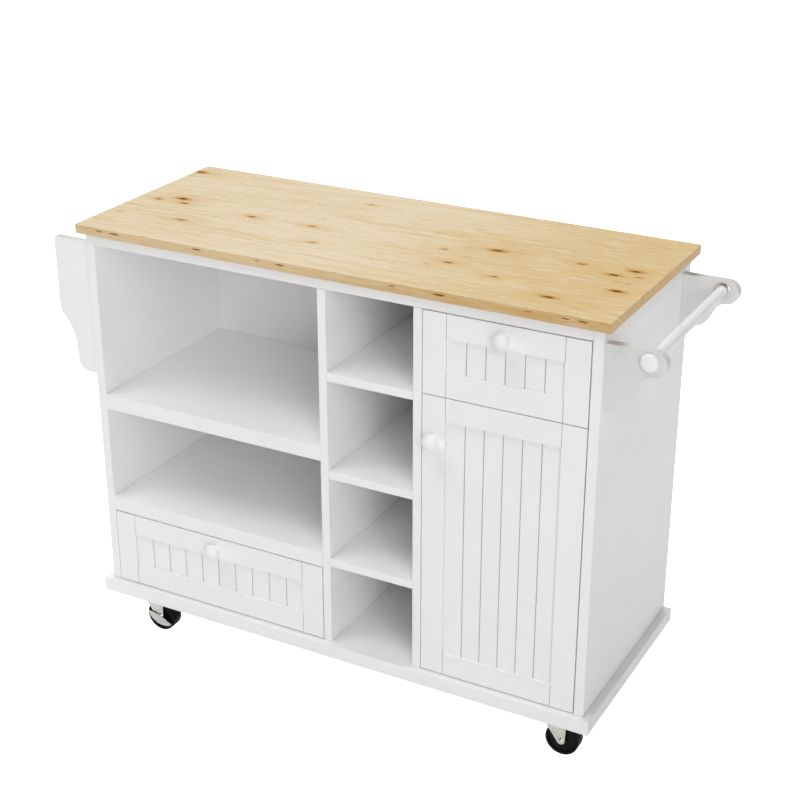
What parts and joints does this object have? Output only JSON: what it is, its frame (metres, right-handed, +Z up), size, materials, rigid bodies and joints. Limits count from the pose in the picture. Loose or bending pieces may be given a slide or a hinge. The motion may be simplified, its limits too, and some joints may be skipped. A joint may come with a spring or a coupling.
{
  "type": "kitchen island cart",
  "caption": "White kitchen island cart with a knotty wood top, open bays, cubbies, drawers, a hinged door, a towel rail, a spice rack and swivel casters.",
  "frame": {"origin": "on the floor under the middle of the box around the whole object", "axes": "+X to the right seen from the front, along the long side; the front faces -Y; +Z up"},
  "size_m": [1.3222, 0.4918, 0.9462],
  "materials": {
    "white_lacquer": "satin white lacquer on board",
    "knotty_wood": "clear satin, knotty pale wood",
    "drawer_board": "satin white board",
    "zinc_steel": "bright zinc plate",
    "black_tyre": "smooth black"
  },
  "bodies": {
    "cabinet": {"back_panel": "white_lacquer", "base_board": "white_lacquer", "countertop": "knotty_wood", "drawer_shelf": "white_lacquer", "front_left_caster_plate": "zinc_steel", "front_right_caster_plate": "zinc_steel", "left_divider": "white_lacquer", "left_drawer_runner": "zinc_steel", "left_side_panel": "white_lacquer", "lower_bay_shelf": "white_lacquer", "lower_cubby_shelf": "white_lacquer", "lower_hinge_arm": "zinc_steel", "middle_cubby_shelf": "white_lacquer", "rear_left_caster_plate": "zinc_steel", "rear_right_caster_plate": "zinc_steel", "right_divider": "white_lacquer", "right_drawer_runner": "zinc_steel", "right_side_panel": "white_lacquer", "spice_front_bracket": "white_lacquer", "spice_lower_rail": "white_lacquer", "spice_lower_shelf": "white_lacquer", "spice_rear_bracket": "white_lacquer", "spice_upper_rail": "white_lacquer", "spice_upper_shelf": "white_lacquer", "top_panel": "white_lacquer", "towel_front_bracket": "white_lacquer", "towel_rear_bracket": "white_lacquer", "towel_rod": "white_lacquer", "upper_bay_shelf": "white_lacquer", "upper_cubby_shelf": "white_lacquer", "upper_hinge_arm": "zinc_steel"},
    "door": {"door_frame": "white_lacquer", "door_knob": "white_lacquer", "door_panel": "white_lacquer", "lower_hinge_cup": "zinc_steel", "upper_hinge_cup": "zinc_steel"},
    "front_left_brake_lever": {"front_left_brake_lever": "zinc_steel"},
    "front_left_caster_swivel": {"front_left_caster_fork": "zinc_steel"},
    "front_left_caster_wheel": {"front_left_caster_wheel": "black_tyre"},
    "front_right_caster_swivel": {"front_right_caster_fork": "zinc_steel"},
    "front_right_caster_wheel": {"front_right_caster_wheel": "black_tyre"},
    "left_drawer": {"left_drawer_back": "drawer_board", "left_drawer_bottom": "drawer_board", "left_drawer_frame": "white_lacquer", "left_drawer_knob": "white_lacquer", "left_drawer_left_side": "drawer_board", "left_drawer_panel": "white_lacquer", "left_drawer_right_side": "drawer_board"},
    "rear_left_brake_lever": {"rear_left_brake_lever": "zinc_steel"},
    "rear_left_caster_swivel": {"rear_left_caster_fork": "zinc_steel"},
    "rear_left_caster_wheel": {"rear_left_caster_wheel": "black_tyre"},
    "rear_right_caster_swivel": {"rear_right_caster_fork": "zinc_steel"},
    "rear_right_caster_wheel": {"rear_right_caster_wheel": "black_tyre"},
    "right_drawer": {"right_drawer_back": "drawer_board", "right_drawer_bottom": "drawer_board", "right_drawer_frame": "white_lacquer", "right_drawer_knob": "white_lacquer", "right_drawer_left_side": "drawer_board", "right_drawer_panel": "white_lacquer", "right_drawer_right_side": "drawer_board"}
  },
  "joints": [
    {"name": "left_drawer_slide", "type": "slide", "parent": "cabinet", "child": "left_drawer", "axis": [0, -1, 0], "range_m": [0, 0.3]},
    {"name": "right_drawer_slide", "type": "slide", "parent": "cabinet", "child": "right_drawer", "axis": [0, -1, 0], "range_m": [0, 0.3]},
    {"name": "door_hinge", "type": "hinge", "parent": "cabinet", "child": "door", "pos_m": [0.52815, -0.2156, 0.4327], "axis": [0, 0, 1], "range_deg": [0, 105]},
    {"name": "front_left_caster_swivel", "type": "hinge", "parent": "cabinet", "child": "front_left_caster_swivel", "pos_m": [-0.49315, -0.1663, 0.0882], "axis": [0, 0, 1], "continuous": true},
    {"name": "front_left_wheel_spin", "type": "hinge", "parent": "front_left_caster_swivel", "child": "front_left_caster_wheel", "pos_m": [-0.47305, -0.1663, 0.035], "axis": [0, 1, 0], "continuous": true},
    {"name": "front_left_brake_press", "type": "hinge", "parent": "front_left_caster_swivel", "child": "front_left_brake_lever", "pos_m": [-0.47305, -0.185, 0.035], "axis": [0, -1, 0], "range_deg": [0, 20]},
    {"name": "front_right_caster_swivel", "type": "hinge", "parent": "cabinet", "child": "front_right_caster_swivel", "pos_m": [0.47365, -0.1663, 0.0882], "axis": [0, 0, 1], "continuous": true},
    {"name": "front_right_wheel_spin", "type": "hinge", "parent": "front_right_caster_swivel", "child": "front_right_caster_wheel", "pos_m": [0.49375, -0.1663, 0.035], "axis": [0, 1, 0], "continuous": true},
    {"name": "rear_left_caster_swivel", "type": "hinge", "parent": "cabinet", "child": "rear_left_caster_swivel", "pos_m": [-0.49315, 0.1801, 0.0882], "axis": [0, 0, 1], "continuous": true},
    {"name": "rear_left_wheel_spin", "type": "hinge", "parent": "rear_left_caster_swivel", "child": "rear_left_caster_wheel", "pos_m": [-0.47305, 0.1801, 0.035], "axis": [0, 1, 0], "continuous": true},
    {"name": "rear_left_brake_press", "type": "hinge", "parent": "rear_left_caster_swivel", "child": "rear_left_brake_lever", "pos_m": [-0.47305, 0.1614, 0.035], "axis": [0, -1, 0], "range_deg": [0, 20]},
    {"name": "rear_right_caster_swivel", "type": "hinge", "parent": "cabinet", "child": "rear_right_caster_swivel", "pos_m": [0.47365, 0.1801, 0.0882], "axis": [0, 0, 1], "continuous": true},
    {"name": "rear_right_wheel_spin", "type": "hinge", "parent": "rear_right_caster_swivel", "child": "rear_right_caster_wheel", "pos_m": [0.49375, 0.1801, 0.035], "axis": [0, 1, 0], "continuous": true}
  ]
}
